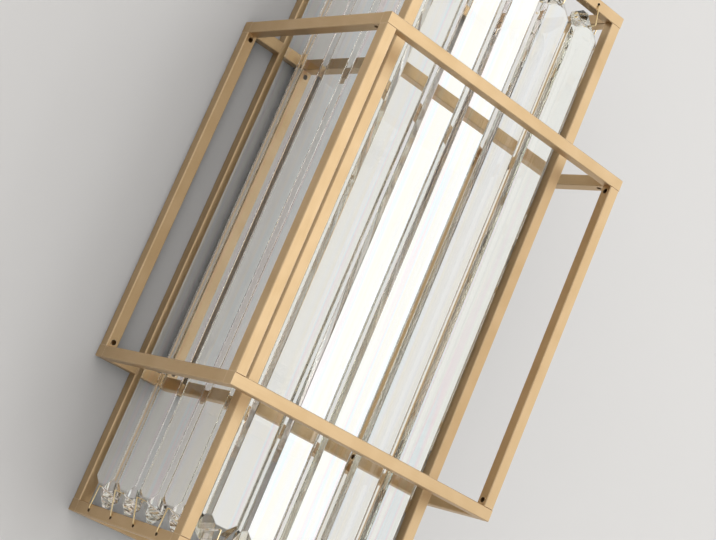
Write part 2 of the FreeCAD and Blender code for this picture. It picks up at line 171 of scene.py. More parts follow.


# %% [markdown]
# ## Shared effects
# Two effects turn up in several finishes, so each is a node group: a grain that can be stretched along the brushing,
# and a mask for the edges, which gives the gold tubes a painted highlight along their edges and lets the earth screw's
# paint rub through to steel there. The mask compares the true normal with one that is rounded over the edge. Painting
# the edges by hand would tie it to one part; this follows every edge by itself.

# %% Node groups for grain and for edges
LINE_DETAIL = 3.0
CLOUD_SCALE = 45.0
CLOUD_DETAIL = 2.0
SPECK_SCALE = 520.0
FULL_EDGE = 0.80  # how well the two normals agree where the edge mask reaches 1


def new_group(name, inputs, outputs):
    """An empty shader node group with typed, named sockets."""
    group = bpy.data.node_groups.new(name, "ShaderNodeTree")
    for title, kind, value in inputs:
        socket = group.interface.new_socket(title, in_out="INPUT", socket_type=kind)
        socket.default_value = value
    for title, kind in outputs:
        group.interface.new_socket(title, in_out="OUTPUT", socket_type=kind)
    return group, group.nodes.new("NodeGroupInput"), group.nodes.new("NodeGroupOutput")


def node(tree, kind, **settings):
    """A shader node with its properties set."""
    made = tree.nodes.new(kind)
    for name, value in settings.items():
        setattr(made, name, value)
    return made


def make_grain_group():
    """Three noises on a stretched place: fine lines, soft clouds and rare specks."""
    inputs = [
        ("Place", "NodeSocketVector", (0, 0, 0)),
        ("Stretch", "NodeSocketVector", (1, 1, 1)),
        ("Speck Amount", "NodeSocketFloat", 0.1),
    ]
    outputs = [("Lines", "NodeSocketFloat"), ("Clouds", "NodeSocketFloat"), ("Specks", "NodeSocketFloat")]
    group, start, end = new_group("grain", inputs, outputs)
    link = group.links.new
    stretched = node(group, "ShaderNodeVectorMath", operation="MULTIPLY")
    link(start.outputs["Place"], stretched.inputs[0])
    link(start.outputs["Stretch"], stretched.inputs[1])
    lines = node(group, "ShaderNodeTexNoise")
    lines.inputs["Scale"].default_value = 1.0
    lines.inputs["Detail"].default_value = LINE_DETAIL
    link(stretched.outputs[0], lines.inputs["Vector"])
    link(lines.outputs["Fac"], end.inputs["Lines"])
    clouds = node(group, "ShaderNodeTexNoise")
    clouds.inputs["Scale"].default_value = CLOUD_SCALE
    clouds.inputs["Detail"].default_value = CLOUD_DETAIL
    link(start.outputs["Place"], clouds.inputs["Vector"])
    link(clouds.outputs["Fac"], end.inputs["Clouds"])
    specks = node(group, "ShaderNodeTexVoronoi")
    specks.inputs["Scale"].default_value = SPECK_SCALE
    link(start.outputs["Place"], specks.inputs["Vector"])
    near = node(group, "ShaderNodeMath", operation="LESS_THAN")
    link(specks.outputs["Distance"], near.inputs[0])
    link(start.outputs["Speck Amount"], near.inputs[1])
    link(near.outputs[0], end.inputs["Specks"])
    return group


def make_edge_group():
    """How far the surface here turns away from its own normal when its edges are rounded."""
    group, start, end = new_group("edges", [("Radius", "NodeSocketFloat", 0.6 * MM)], [("Edge", "NodeSocketFloat")])
    link = group.links.new
    rounded = node(group, "ShaderNodeBevel", samples=4)
    link(start.outputs["Radius"], rounded.inputs["Radius"])
    true = node(group, "ShaderNodeNewGeometry")
    agreement = node(group, "ShaderNodeVectorMath", operation="DOT_PRODUCT")
    link(rounded.outputs["Normal"], agreement.inputs[0])
    link(true.outputs["Normal"], agreement.inputs[1])
    mask = node(group, "ShaderNodeMapRange")
    mask.inputs["From Min"].default_value = 1.0
    mask.inputs["From Max"].default_value = FULL_EDGE
    link(agreement.outputs["Value"], mask.inputs["Value"])
    link(mask.outputs["Result"], end.inputs["Edge"])
    return group


GRAIN = make_grain_group()
EDGES = make_edge_group()
print("node groups:", GRAIN.name, EDGES.name)

# %% Helpers that build a material


def new_material(name, **constants):
    """A material with one Principled shader, its unchanging values set on the shader's own sockets."""
    material = bpy.data.materials.new(name)
    material.use_nodes = True
    shader = material.node_tree.nodes["Principled BSDF"]
    for socket, value in constants.items():
        shader.inputs[socket.replace("_", " ")].default_value = value
    return material, material.node_tree, shader


def add_grain(tree, stretch, speck_amount=0.0):
    """The grain group on Object coordinates."""
    place = node(tree, "ShaderNodeTexCoord")
    grain = node(tree, "ShaderNodeGroup", node_tree=GRAIN)
    grain.inputs["Stretch"].default_value = stretch
    grain.inputs["Speck Amount"].default_value = speck_amount
    tree.links.new(place.outputs["Object"], grain.inputs["Place"])
    return grain


def add_edges(tree, radius):
    """The edge group with its rounding radius."""
    edges = node(tree, "ShaderNodeGroup", node_tree=EDGES)
    edges.inputs["Radius"].default_value = radius
    return edges


def blend_colour(tree, factor, dark, light):
    """A colour socket between two colours, by a factor socket."""
    mix = node(tree, "ShaderNodeMix", data_type="RGBA")
    tree.links.new(factor, mix.inputs["Factor"])
    for socket, colour in ((mix.inputs[6], dark), (mix.inputs[7], light)):
        if isinstance(colour, tuple):
            socket.default_value = (*colour, 1)
        else:
            tree.links.new(colour, socket)
    return mix.outputs[2]


def remap(tree, value, low, high, from_low=0.3, from_high=0.7):
    """A noise value spread from one range to another."""
    spread = node(tree, "ShaderNodeMapRange")
    spread.inputs["From Min"].default_value = from_low
    spread.inputs["From Max"].default_value = from_high
    spread.inputs["To Min"].default_value = low
    spread.inputs["To Max"].default_value = high
    tree.links.new(value, spread.inputs["Value"])
    return spread.outputs["Result"]


def add_bump(tree, shader, height, strength, distance):
    """Drive the shader's normal from a height."""
    bump = node(tree, "ShaderNodeBump")
    bump.inputs["Strength"].default_value = strength
    bump.inputs["Distance"].default_value = distance
    tree.links.new(height, bump.inputs["Height"])
    tree.links.new(bump.outputs["Normal"], shader.inputs["Normal"])


def drift(tree, grain, dark, light):
    """A colour that drifts between two with the grain's clouds."""
    return blend_colour(tree, remap(tree, grain.outputs["Clouds"], 0, 1), dark, light)


def speckled(tree, grain, colour, speck, strength):
    """A colour with rare specks of another laid over it."""
    return blend_colour(tree, remap(tree, grain.outputs["Specks"], 0, strength, 0, 1), colour, speck)


def dress(tree, shader, grain, colour, roughness, bump=None, gloss_from="Lines"):
    """Give a shader its colour, a roughness that varies with the grain, and a bump of some strength and height."""
    tree.links.new(colour, shader.inputs["Base Color"])
    tree.links.new(remap(tree, grain.outputs[gloss_from], *roughness), shader.inputs["Roughness"])
    if bump:
        add_bump(tree, shader, grain.outputs["Lines"], *bump)


# %% [markdown]
# ## Satin champagne gold
# The tubes are plated and then brushed along their length, which leaves a fine satin with hardly a line in it. Their
# edges are slightly lighter: a painted highlight. The grain has to follow each tube, so there is one material per
# direction: the same noise, with its place squeezed across the tube and left long along it. Anisotropy would need
# tangents, which a plain box of triangles lacks, and at this size the eye reads the roughness, not the lines.

# %% Brushed gold, one material for each direction of tube
GOLD_DARK = (0.55, 0.380, 0.203)
GOLD_LIGHT = (0.62, 0.446, 0.258)
# the edge colour is a painted highlight for the tube edges
GOLD_EDGE_HIGHLIGHT = (0.86, 0.70, 0.49)
GOLD_ROUGHNESS = (0.36, 0.50)
GOLD_BUMP = (0.22, 0.04 * MM)
LINES_ACROSS = 4200.0
LINES_ALONG = 60.0
TUBE_EDGE = 0.7 * MM


def brushed_gold(name, axis):
    """Satin gold brushed along one axis, with a painted highlight along its edges."""
    material, tree, shader = new_material(name, Metallic=1.0)
    stretch = [LINES_ACROSS] * 3
    stretch[axis] = LINES_ALONG
    grain = add_grain(tree, stretch, speck_amount=0.055)
    edges = add_edges(tree, TUBE_EDGE)
    satin = blend_colour(tree, remap(tree, grain.outputs["Clouds"], 0.25, 1.0), GOLD_DARK, GOLD_LIGHT)
    pitted = speckled(tree, grain, satin, GOLD_DARK, 0.22)
    # the edges blend towards the lighter colour, a painted highlight
    wear_and_highlight = blend_colour(tree, remap(tree, edges.outputs["Edge"], 0.0, 0.6, 0, 1), pitted, GOLD_EDGE_HIGHLIGHT)
    dress(tree, shader, grain, wear_and_highlight, GOLD_ROUGHNESS, GOLD_BUMP)
    return material


TUBE_GOLD = [brushed_gold("satin_gold_" + letter, axis) for axis, letter in enumerate("xyz")]

tubes = [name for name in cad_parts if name.startswith(("outer_", "inner_"))]
for name in tubes:
    low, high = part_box(name)
    sides = list(high - low)
    give_finish(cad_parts[name], TUBE_GOLD[sides.index(max(sides))])
print("tubes finished:", len(tubes))

# %% [markdown]
# ## Other hard finishes
# Most of the remaining parts sit inside, seen past the crystals. Each still has the variation that its process leaves:
# turning rings on the dome nuts, tarnish on the drawn pins, a spangled zinc skin on the steel, wipe marks on the
# polished pan, pinholes in the glaze of the ceramic.

# %% Brass, zinc, polished steel, ceramic, plastic and the earth screw's green


def drawn_brass():
    """Bright drawn wire, slightly tarnished in patches."""
    material, tree, shader = new_material("drawn_brass", Metallic=1.0)
    grain = add_grain(tree, (900.0, 900.0, 900.0))
    colour = drift(tree, grain, (0.80, 0.62, 0.33), (0.94, 0.79, 0.50))
    dress(tree, shader, grain, colour, (0.16, 0.30), (0.15, 0.02 * MM))
    return material


def turned_brass():
    """Brass with the fine rings of a lathe tool, spaced along the axis that goes into the wall."""
    material, tree, shader = new_material("turned_brass", Metallic=1.0)
    grain = add_grain(tree, (40.0, 9000.0, 40.0))
    colour = drift(tree, grain, (0.74, 0.54, 0.28), (0.88, 0.69, 0.41))
    dress(tree, shader, grain, colour, (0.12, 0.26), (0.2, 0.02 * MM))
    return material


def zinc_steel():
    """Zinc-plated steel: pale grey with soft bluish and yellowish clouds."""
    material, tree, shader = new_material("zinc_steel", Metallic=1.0)
    grain = add_grain(tree, (2600.0, 2600.0, 400.0), speck_amount=0.08)
    cloud = drift(tree, grain, (0.60, 0.62, 0.65), (0.76, 0.75, 0.70))
    colour = speckled(tree, grain, cloud, (0.45, 0.45, 0.46), 0.5)
    dress(tree, shader, grain, colour, (0.28, 0.46), (0.15, 0.03 * MM), gloss_from="Clouds")
    return material


def polished_steel():
    """Mirror-polished stainless sheet, with the faint haze and wipe marks that polish leaves."""
    material, tree, shader = new_material("polished_steel", Metallic=1.0)
    grain = add_grain(tree, (700.0, 700.0, 12.0), speck_amount=0.03)
    cloud = drift(tree, grain, (0.76, 0.76, 0.75), (0.86, 0.86, 0.86))
    colour = speckled(tree, grain, cloud, (0.5, 0.5, 0.5), 0.4)
    dress(tree, shader, grain, colour, (0.06, 0.12), (0.08, 0.01 * MM), gloss_from="Clouds")
    return material


def glazed_ceramic():
    """White steatite under a clear glaze, with a faint cream cast and pinholes."""
    material, tree, shader = new_material("glazed_ceramic", Coat_Weight=0.6, Coat_Roughness=0.08)
    grain = add_grain(tree, (600.0, 600.0, 600.0), speck_amount=0.05)
    body = drift(tree, grain, (0.80, 0.78, 0.72), (0.88, 0.87, 0.83))
    colour = speckled(tree, grain, body, (0.55, 0.52, 0.46), 0.4)
    dress(tree, shader, grain, colour, (0.24, 0.42), (0.2, 0.05 * MM))
    return material


def moulded_plastic():
    """Natural white plastic with a spark-eroded skin."""
    material, tree, shader = new_material("moulded_plastic")
    grain = add_grain(tree, (2200.0, 2200.0, 2200.0))
    colour = drift(tree, grain, (0.74, 0.73, 0.67), (0.82, 0.81, 0.76))
    dress(tree, shader, grain, colour, (0.45, 0.62), (0.3, 0.03 * MM))
    return material


def earth_green():
    """Green lacquer on the earth screw, rubbed through to steel at the edges."""
    material, tree, shader = new_material("earth_green")
    grain = add_grain(tree, (1200.0, 1200.0, 1200.0))
    edges = add_edges(tree, 0.3 * MM)
    paint = drift(tree, grain, (0.03, 0.20, 0.07), (0.06, 0.33, 0.12))
    wear_and_highlight = remap(tree, edges.outputs["Edge"], 0.0, 0.9, 0.3, 1.0)
    dress(tree, shader, grain, blend_colour(tree, wear_and_highlight, paint, (0.60, 0.60, 0.60)), (0.28, 0.45))
    tree.links.new(wear_and_highlight, shader.inputs["Metallic"])
    return material


WIRE_BRASS = drawn_brass()
NUT_BRASS = turned_brass()
ZINC = zinc_steel()
CERAMIC = glazed_ceramic()
PLASTIC = moulded_plastic()
EARTH_GREEN = earth_green()
PLATE_STEEL = polished_steel()
HARD_FINISHES = {
    "cap_nuts": NUT_BRASS, "back_plate": PLATE_STEEL, "wall_bracket": ZINC, "bracket_studs": ZINC,
    "lamp_holder_upper": CERAMIC, "lamp_holder_lower": CERAMIC, "terminal_block": PLASTIC,
}
for name, material in HARD_FINISHES.items():
    give_finish(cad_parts[name], material)
print("hard finishes:", len(HARD_FINISHES))

# %% [markdown]
# ## Cut crystal
# Lead crystal bends light more than window glass and splits it a little into colours along the bevels. The bars are
# clear, so the look is all in what they mirror and bend. On the real bars the big outward flats work almost as mirrors,
# while the bevels are clear and faintly grey, so there are two finishes: a strong mirror for the outward flats and a
# clear one for all the rest. If the inward flats mirrored too, the light would zigzag between them and draw ripples.
# Colour splitting isn't in the renderer, so long pastel streaks stand in for it: very weak tints that run along each
# bar, laid out by place, so they stay put from every side.

# %% Crystal materials
STREAK_TINTS = (
    (0.00, (0.970, 0.985, 1.000)), (0.36, (1.000, 0.980, 0.910)), (0.44, (0.985, 0.985, 0.985)),
    (0.52, (0.910, 0.980, 1.000)), (0.58, (1.000, 0.925, 0.945)), (0.68, (0.990, 0.995, 0.955)),
)
STREAK_STRETCH = (48.0, 48.0, 0.9)
CRYSTAL_IOR = 1.54
FLAT_MIRROR = 0.85
FLAT_SHADE = (1.0, 1.0, 1.0)
BEVEL_SHADE = (0.965, 0.955, 0.940)


def cut_crystal(name, mirror, shade):
    """Crystal with faint lengthwise tints. mirror is the share sent straight back, shade a colour over the tints."""
    material, tree, shader = new_material(
        name, Roughness=0.0, IOR=CRYSTAL_IOR, Transmission_Weight=1.0, Metallic=mirror
    )
    grain = add_grain(tree, STREAK_STRETCH)
    ramp = node(tree, "ShaderNodeValToRGB")
    tree.links.new(remap(tree, grain.outputs["Lines"], 0.0, 1.0), ramp.inputs["Fac"])
    stops = ramp.color_ramp.elements
    while len(stops) < len(STREAK_TINTS):
        stops.new(0.5)
    for stop, (place, tint) in zip(stops, STREAK_TINTS):
        stop.position = place
        stop.color = (*(value * part for value, part in zip(tint, shade)), 1)
    tree.links.new(ramp.outputs["Color"], shader.inputs["Base Color"])
    return material


CLEAR_CRYSTAL = cut_crystal("clear_crystal", 0.0, BEVEL_SHADE)
BRIGHT_FLAT = cut_crystal("bright_flat", FLAT_MIRROR, FLAT_SHADE)
print("crystal finishes:", CLEAR_CRYSTAL.name, BRIGHT_FLAT.name)

# %% [markdown]
# ## The crystal bars
# Each bar is cut from a flat strip: bevels down both long edges, and a pointed end with a drilled hole for the pin. The
# construction part has those planes. What it lacks is the arris, the hair-thin polished chamfer where two planes meet,
# which is what draws the bright lines along real crystal. A bevel needs joined faces, so the loose triangles of a copy
# are merged and their flat neighbours dissolved first. One bar is finished, and all thirteen are copies of it.

# %% Polish one bar's arrises
ARRIS = 0.22 * MM
HOLE_EDGE = 0.5 * MM  # the edges round the pin's hole are shorter than this
NEAR_HOLE = 1.0 * MM  # and no farther than this from the bar's middle line
SHARP = math.radians(8)
SAME_PLANE = math.radians(0.5)
SAME_POINT = 0.002 * MM
FLAT_SHARE = 0.3  # a face with more than this share of the bar's front is one of its big flats
MODEL_BAR = "crystal_front_3"


def polished_bar(node_name):
    """A copy of one crystal, merged, with its edges bevelled and its outward flat given the mirror finish."""
    low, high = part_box(node_name)
    middle = (low + high) / 2
    bar = copy_of(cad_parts[node_name])
    bpy.ops.object.mode_set(mode="EDIT")
    bpy.ops.mesh.select_all(action="SELECT")
    bpy.ops.mesh.remove_doubles(threshold=SAME_POINT)
    bpy.ops.mesh.dissolve_limited(angle_limit=SAME_PLANE)
    bpy.ops.mesh.select_all(action="DESELECT")
    bpy.ops.mesh.select_mode(type="EDGE")
    bpy.ops.mesh.edges_select_sharp(sharpness=SHARP)
    bpy.ops.object.mode_set(mode="OBJECT")
    for edge in bar.data.edges:
        start, end = (bar.data.vertices[index].co for index in edge.vertices)
        if (start - end).length < HOLE_EDGE and abs((start.x + end.x) / 2 - middle.x) < NEAR_HOLE:
            edge.select = False
    bpy.ops.object.mode_set(mode="EDIT")
    bpy.ops.mesh.bevel(offset=ARRIS, segments=1, affect="EDGES")
    bpy.ops.mesh.select_all(action="DESELECT")
    bpy.ops.object.mode_set(mode="OBJECT")
    give_finish(bar, CLEAR_CRYSTAL, BRIGHT_FLAT)
    flat_area = FLAT_SHARE * (high.x - low.x) * (high.z - low.z)
    for face in bar.data.polygons:
        face.use_smooth = False
        face.material_index = int(face.area > flat_area and face.normal.y < 0)
    return bar


model_bar = polished_bar(MODEL_BAR)
flats = sum(face.material_index for face in model_bar.data.polygons)
print("faces on a bar:", len(model_bar.data.polygons), "of them mirror flats:", flats)

# %% Thirteen copies of it, each turned to the side that it hangs on
TURNS = {"front": 0.0, "left": math.radians(-90), "right": math.radians(90)}
model_centre = node_box_centre(MODEL_BAR)
bars = [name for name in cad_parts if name.startswith("crystal_")]
for name in bars:
    bar = copy_of(model_bar)
    turn = Matrix.Rotation(TURNS[name.split("_")[1]], 4, "Z")
    bar.matrix_world = Matrix.Translation(node_box_centre(name)) @ turn @ Matrix.Translation(-model_centre)
    finish_piece(bar, name.replace("crystal", "cut_bar"), replaces=(name,))
bpy.data.objects.remove(model_bar)
print("bars:", len(bars))

# %% [markdown]
# ## Wire pins
# A pin is a short length of brass wire bent like a staple: one leg goes into the rail's hole, the other through the
# crystal's hole. The construction pins are bent square, and their legs' ends say where each one runs. A wire could be a
# skin over edges, but a path that is turned into a curve keeps its thickness round the bends: a vertex is extruded from
# corner to corner, the two bends are rounded, and the path gets its round section and its closed ends.

# %% Where each pin runs
BEND_RADIUS = 1.5 * MM
BEND_STEPS = 5
WIRE_RADIUS = 0.5 * MM
WIRE_SMOOTH_BELOW = math.radians(40)
bar_low, bar_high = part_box("crystal_front_1")
HALF_BAR = (bar_high.x - bar_low.x) / 2
print("half a bar in mm:", round(HALF_BAR / MM, 2))


def middle_of(points):
    """The middle of the box round some points."""
    spans = [(min(values), max(values)) for values in zip(*points)]
    return Vector([(low + high) / 2 for low, high in spans])


def pin_route(points, bar_centre, inward):
    """The four corners of the staple in front of one bar: the construction pin has a ring of points at each."""
    along = inward.cross(Vector((0, 0, 1)))
    near = [point for point in points if abs((point - bar_centre).dot(along)) < HALF_BAR]
    halfway = middle_of(near).z
    route = []
    for upper in (True, False):
        leg = [point for point in near if (point.z > halfway) == upper]
        deepest = max(point.dot(inward) for point in leg)
        end = [point for point in leg if point.dot(inward) > deepest - WIRE_RADIUS]
        bend = [point for point in leg if point.dot(inward) <= deepest - WIRE_RADIUS]
        route += [middle_of(end), middle_of(bend)]
    return [route[0], route[1], route[3], route[2]]


def traced(points):
    """A new object in edit mode, whose mesh is one line of edges through the points."""
    bpy.ops.object.select_all(action="DESELECT")
    bpy.ops.mesh.primitive_plane_add(size=MM, location=points[0])
    line = bpy.context.object
    bpy.ops.object.mode_set(mode="EDIT")
    bpy.ops.mesh.select_mode(type="VERT")
    bpy.ops.mesh.merge(type="CENTER")
    for start, end in zip(points, points[1:]):
        bpy.ops.mesh.extrude_vertices_move(TRANSFORM_OT_translate={"value": end - start})
    return line


def bent_wire(route, radius, bend):
    """Round wire along straight legs, with rounded bends and closed ends."""
    wire = traced(route)
    bpy.ops.mesh.select_all(action="DESELECT")
    bpy.ops.object.mode_set(mode="OBJECT")
    for point in wire.data.vertices[1:-1]:
        point.select = True
    bpy.ops.object.mode_set(mode="EDIT")
    bpy.ops.mesh.bevel(offset=bend, segments=BEND_STEPS, affect="VERTICES")
    bpy.ops.object.mode_set(mode="OBJECT")
    bpy.ops.object.convert(target="CURVE")
    wire.data.bevel_depth = radius
    wire.data.bevel_resolution = 2
    wire.data.use_fill_caps = True
    bpy.ops.object.convert(target="MESH")
    bpy.ops.object.shade_smooth_by_angle(angle=WIRE_SMOOTH_BELOW)
    return wire


def join(pieces):
    """Several pieces as one object."""
    bpy.ops.object.select_all(action="DESELECT")
    for piece in pieces:
        piece.select_set(True)
    bpy.context.view_layer.objects.active = pieces[0]
    bpy.ops.object.join()
    return pieces[0]


# %% Bend them all
for row, turn in TURNS.items():
    inward = Matrix.Rotation(turn, 3, "Z") @ Vector((0, 1, 0))
    centres = [node_box_centre(name) for name in bars if name.startswith("crystal_" + row)]
    for level in ("top", "bottom"):
        name = "pins_" + row + "_" + level
        points = [point.co.copy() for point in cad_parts[name].data.vertices]
        wires = [bent_wire(pin_route(points, centre, inward), WIRE_RADIUS, BEND_RADIUS) for centre in centres]
        finish_piece(join(wires), "wire_" + name, WIRE_BRASS, (name,))
        print(name, "pins bent:", len(wires))

# %% [markdown]
# ## Screws
# The construction screws have plain heads. A real pan head has a rounded rim and a recess for the driver: a cross on
# the plated machine screws, and a slot on the earth and terminal screws. The recess could be only a dark line in the
# finish, but that catches no light, so it is cut with a boolean, as a punch makes it. Each screw is made head up on the
# origin and then turned to its place, which is read from the construction screws. The terminal screws are new pieces,
# and sit at the bottom of the terminal block's wells.

# %% One screw, head up
HEAD_SIDES = 36
SHANK_SIDES = 24
RIM_ROUNDING = 0.32  # share of the head's height
RECESS_DEPTH = 0.55  # share of the head's height
RECESS_WIDTH = 0.85 * MM
SLOT_REACH = 1.2  # share of the head's width: a slot runs out at both sides
CROSS_REACH = 0.62  # the same share for a cross, which ends inside the head
TIP_CHAMFER = 0.3 * MM
SMOOTH_BELOW = math.radians(35)


def loose_boxes(node_name):
    """The low and high corners of each separate solid in a construction node."""
    twin = copy_of(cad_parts[node_name])
    bpy.ops.object.mode_set(mode="EDIT")
    bpy.ops.mesh.select_all(action="SELECT")
    bpy.ops.mesh.remove_doubles(threshold=SAME_POINT)
    bpy.ops.mesh.separate(type="LOOSE")
    bpy.ops.object.mode_set(mode="OBJECT")
    found = []
    for solid in list(bpy.context.selected_objects):
        corners = [Vector(corner) for corner in solid.bound_box]
        found.append((corners[0], corners[6]))
        bpy.data.objects.remove(solid)
    return found


def pan_screw(thread, head, height, length, cuts):
    """A pan-headed screw on the origin, head up: one cut makes it slotted, two make it a cross."""
    bpy.ops.object.select_all(action="DESELECT")
    bpy.ops.mesh.primitive_cylinder_add(
        vertices=HEAD_SIDES, radius=head / 2, depth=height, location=(0, 0, height / 2)
    )
    top = bpy.context.object
    select_faces(top, lambda centre, normal: normal.z > 0.9)
    bpy.ops.mesh.bevel(offset=RIM_ROUNDING * height, segments=4, affect="EDGES")
    bpy.ops.object.mode_set(mode="OBJECT")
    reach = head * (SLOT_REACH if cuts == 1 else CROSS_REACH)
    for number in range(cuts):
        bpy.ops.mesh.primitive_cube_add(size=1, location=(0, 0, height))
        cutter = bpy.context.object
        cutter.scale = (reach, RECESS_WIDTH, 2 * RECESS_DEPTH * height)
        cutter.rotation_euler.z = math.radians(90) * number
        apply_modifier(top, "BOOLEAN", operation="DIFFERENCE", object=cutter, solver="EXACT")
        bpy.data.objects.remove(cutter)
    bpy.ops.mesh.primitive_cylinder_add(
        vertices=SHANK_SIDES, radius=thread / 2, depth=length, location=(0, 0, -length / 2)
    )
    shank = bpy.context.object
    select_faces(shank, lambda centre, normal: normal.z < -0.9)
    bpy.ops.mesh.bevel(offset=TIP_CHAMFER, segments=1, affect="EDGES")
    bpy.ops.object.mode_set(mode="OBJECT")
    screw = join([top, shank])
    select_only(screw)
    bpy.ops.object.transform_apply(location=True, rotation=True, scale=True)
    bpy.ops.object.shade_smooth_by_angle(angle=SMOOTH_BELOW)
    return screw


def drive(screw, seat, towards):
    """Turn a screw so that its shank points the way it is driven, with the underside of its head on the seat."""
    screw.matrix_world = Matrix.Translation(seat) @ (-towards).to_track_quat("Z", "Y").to_matrix().to_4x4()
    return screw


# %% Put a screw wherever the construction has one
INTO_WALL = Vector((0, 1, 0))
SCREWS = {  # slot, finish, thread, height of the head, cuts in it
    "frame_screws": ("zinc_steel", ZINC, 3.0 * MM, 2.0 * MM, 2),
    "holder_screws": ("zinc_steel", ZINC, 3.0 * MM, 2.0 * MM, 2),
    "earth_screw": ("earth_green", EARTH_GREEN, 4.0 * MM, 2.4 * MM, 1),
}
for name, (slot, material, thread, head_height, cuts) in SCREWS.items():
    placed = []
    for low, high in loose_boxes(name):
        size = high - low
        middle = (low + high) / 2
        if name == "frame_screws":
            towards, length = Vector((0, 0, math.copysign(1, middle.z))), size.z
        else:
            towards, length = INTO_WALL, size.y
        screw = pan_screw(thread, size.x, head_height, length - head_height, cuts)
        placed.append(drive(screw, middle + towards * (head_height - length / 2), towards))
    finish_piece(join(placed), "driven_" + name, material, (name,))
    print(name, len(placed))

# %% Terminal screws, slotted, at the bottom of the block's six wells
TERMINAL_WAYS = 3
WELL_LEVELS = (0.25, 0.75)  # shares of the block's height
WELL_DEPTH = 2.5 * MM
TERMINAL_SCREW = {"thread": 2.6 * MM, "head": 3.6 * MM, "height": 1.5 * MM, "length": 2.0 * MM, "cuts": 1}
block_low, block_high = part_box("terminal_block")
block_size = block_high - block_low
placed = []
for way in range(TERMINAL_WAYS):
    for level in WELL_LEVELS:
        seat = Vector((
            block_low.x + block_size.x * (way + 0.5) / TERMINAL_WAYS,
            block_low.y + WELL_DEPTH,
            block_low.z + block_size.z * level,
        ))
        placed.append(drive(pan_screw(**TERMINAL_SCREW), seat, INTO_WALL))
finish_piece(join(placed), "driven_terminal_screws", ZINC)
print("terminal screws:", len(placed))

# %% [markdown]
# ## Lamps
# Each lamp is a clear glass capsule with a domed tip, drawn in to a flat pinch that seals two leads. The envelope is a
# half outline spun round the lamp's axis, given its wall by Solidify after its normals are set, so the gas space inside
# is real. A cylinder and a sphere could be joined instead, but the spun outline has no seam at the shoulder.

# %% Clear lamp glass
LAMP_IOR = 1.47


def clear_lamp_glass():
    """Thin clear glass with a little waviness from being blown."""
    material, tree, shader = new_material("clear_lamp_glass", IOR=LAMP_IOR, Transmission_Weight=1.0)
    grain = add_grain(tree, (260.0, 60.0, 260.0))
    tint = drift(tree, grain, (0.97, 0.98, 0.98), (1.0, 1.0, 1.0))
    dress(tree, shader, grain, tint, (0.0, 0.05), (0.1, 0.05 * MM))
    return material


LAMP_GLASS = clear_lamp_glass()
print("lamp finish:", LAMP_GLASS.name)

# %% Glass envelope and pinch
GLASS_WALL = 0.9 * MM
SHOULDER_LENGTH = 3.0 * MM
NECK_RADIUS = 4.1 * MM
PINCH_WIDTH = 10.8 * MM
PINCH_LENGTH = 12.0 * MM
PINCH_THICKNESS = 5.0 * MM
PINCH_ROUNDING = 1.2 * MM
DOME_STEPS = 8
SPIN_STEPS = 40


def lamp_envelope(name):
    """The glass of one lamp, read from the construction lamp's box."""
    low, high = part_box(name)
    centre = (low + high) / 2
    radius = (high.z - low.z) / 2
    neck = high.y - PINCH_LENGTH
    outline = [Vector((0, low.y, centre.z))]
    for step in range(1, DOME_STEPS + 1):
        turn = math.pi / 2 * step / DOME_STEPS
        outline.append(Vector((radius * math.sin(turn), low.y + radius * (1 - math.cos(turn)), centre.z)))
    outline += [
        Vector((radius, neck - SHOULDER_LENGTH, centre.z)),
        Vector((NECK_RADIUS, neck, centre.z)),
        Vector((0, neck, centre.z)),
    ]
    glass = traced(outline)
    bpy.ops.mesh.select_all(action="SELECT")
    bpy.ops.mesh.spin(steps=SPIN_STEPS, angle=math.tau, center=(0, 0, centre.z), axis=INTO_WALL)
    bpy.ops.mesh.select_all(action="SELECT")
    bpy.ops.mesh.remove_doubles(threshold=0.01 * MM)
    bpy.ops.mesh.normals_make_consistent(inside=False)
    bpy.ops.object.mode_set(mode="OBJECT")
    apply_modifier(glass, "SOLIDIFY", thickness=GLASS_WALL, offset=-1)
    bpy.ops.mesh.primitive_cube_add(size=1, location=(0, (neck + high.y) / 2, centre.z))
    pinch = bpy.context.object
    pinch.scale = (PINCH_WIDTH, PINCH_LENGTH, PINCH_THICKNESS)
    bpy.ops.object.transform_apply(scale=True)
    apply_modifier(pinch, "BEVEL", width=PINCH_ROUNDING, segments=4)
    whole = join([glass, pinch])
    select_only(whole)
    bpy.ops.object.shade_smooth_by_angle(angle=SMOOTH_BELOW)
    finish_piece(whole, "glass_" + name, LAMP_GLASS, (name,))
    return len(whole.data.polygons)


# %% [markdown]
# ## Filaments
# Two stiff leads come out of the pinch and lean in to the coil between them. They are bent like the pins. The coil
# could be a curve with a round section, but a Screw modifier makes it the way it is wound: a tiny circle is carried
# round the coil's axis while it moves along it. Tungsten is grey like the plated steel, so it takes that finish's
# recipe.

# %% Leads and coil of one lamp
LEAD_SPREAD = 2.4 * MM
LEAD_RADIUS = 0.25 * MM
LEAD_BEND = 0.5 * MM
LEAD_SETBACK = 1.0 * MM  # from the lamp's back end to where a lead starts
TIP_INWARD = 0.7 * MM
TIP_OUTWARD = 0.1 * MM
COIL_FROM_DOME = 11.0 * MM
COIL_RADIUS = 0.7 * MM
COIL_WIRE = 0.12 * MM
COIL_WIRE_SIDES = 6
COIL_HALF = 1.6 * MM
COIL_PITCH = 0.4 * MM
COIL_TURNS = 8
COIL_STEPS = 12
TUNGSTEN = zinc_steel()
TUNGSTEN.name = "tungsten"


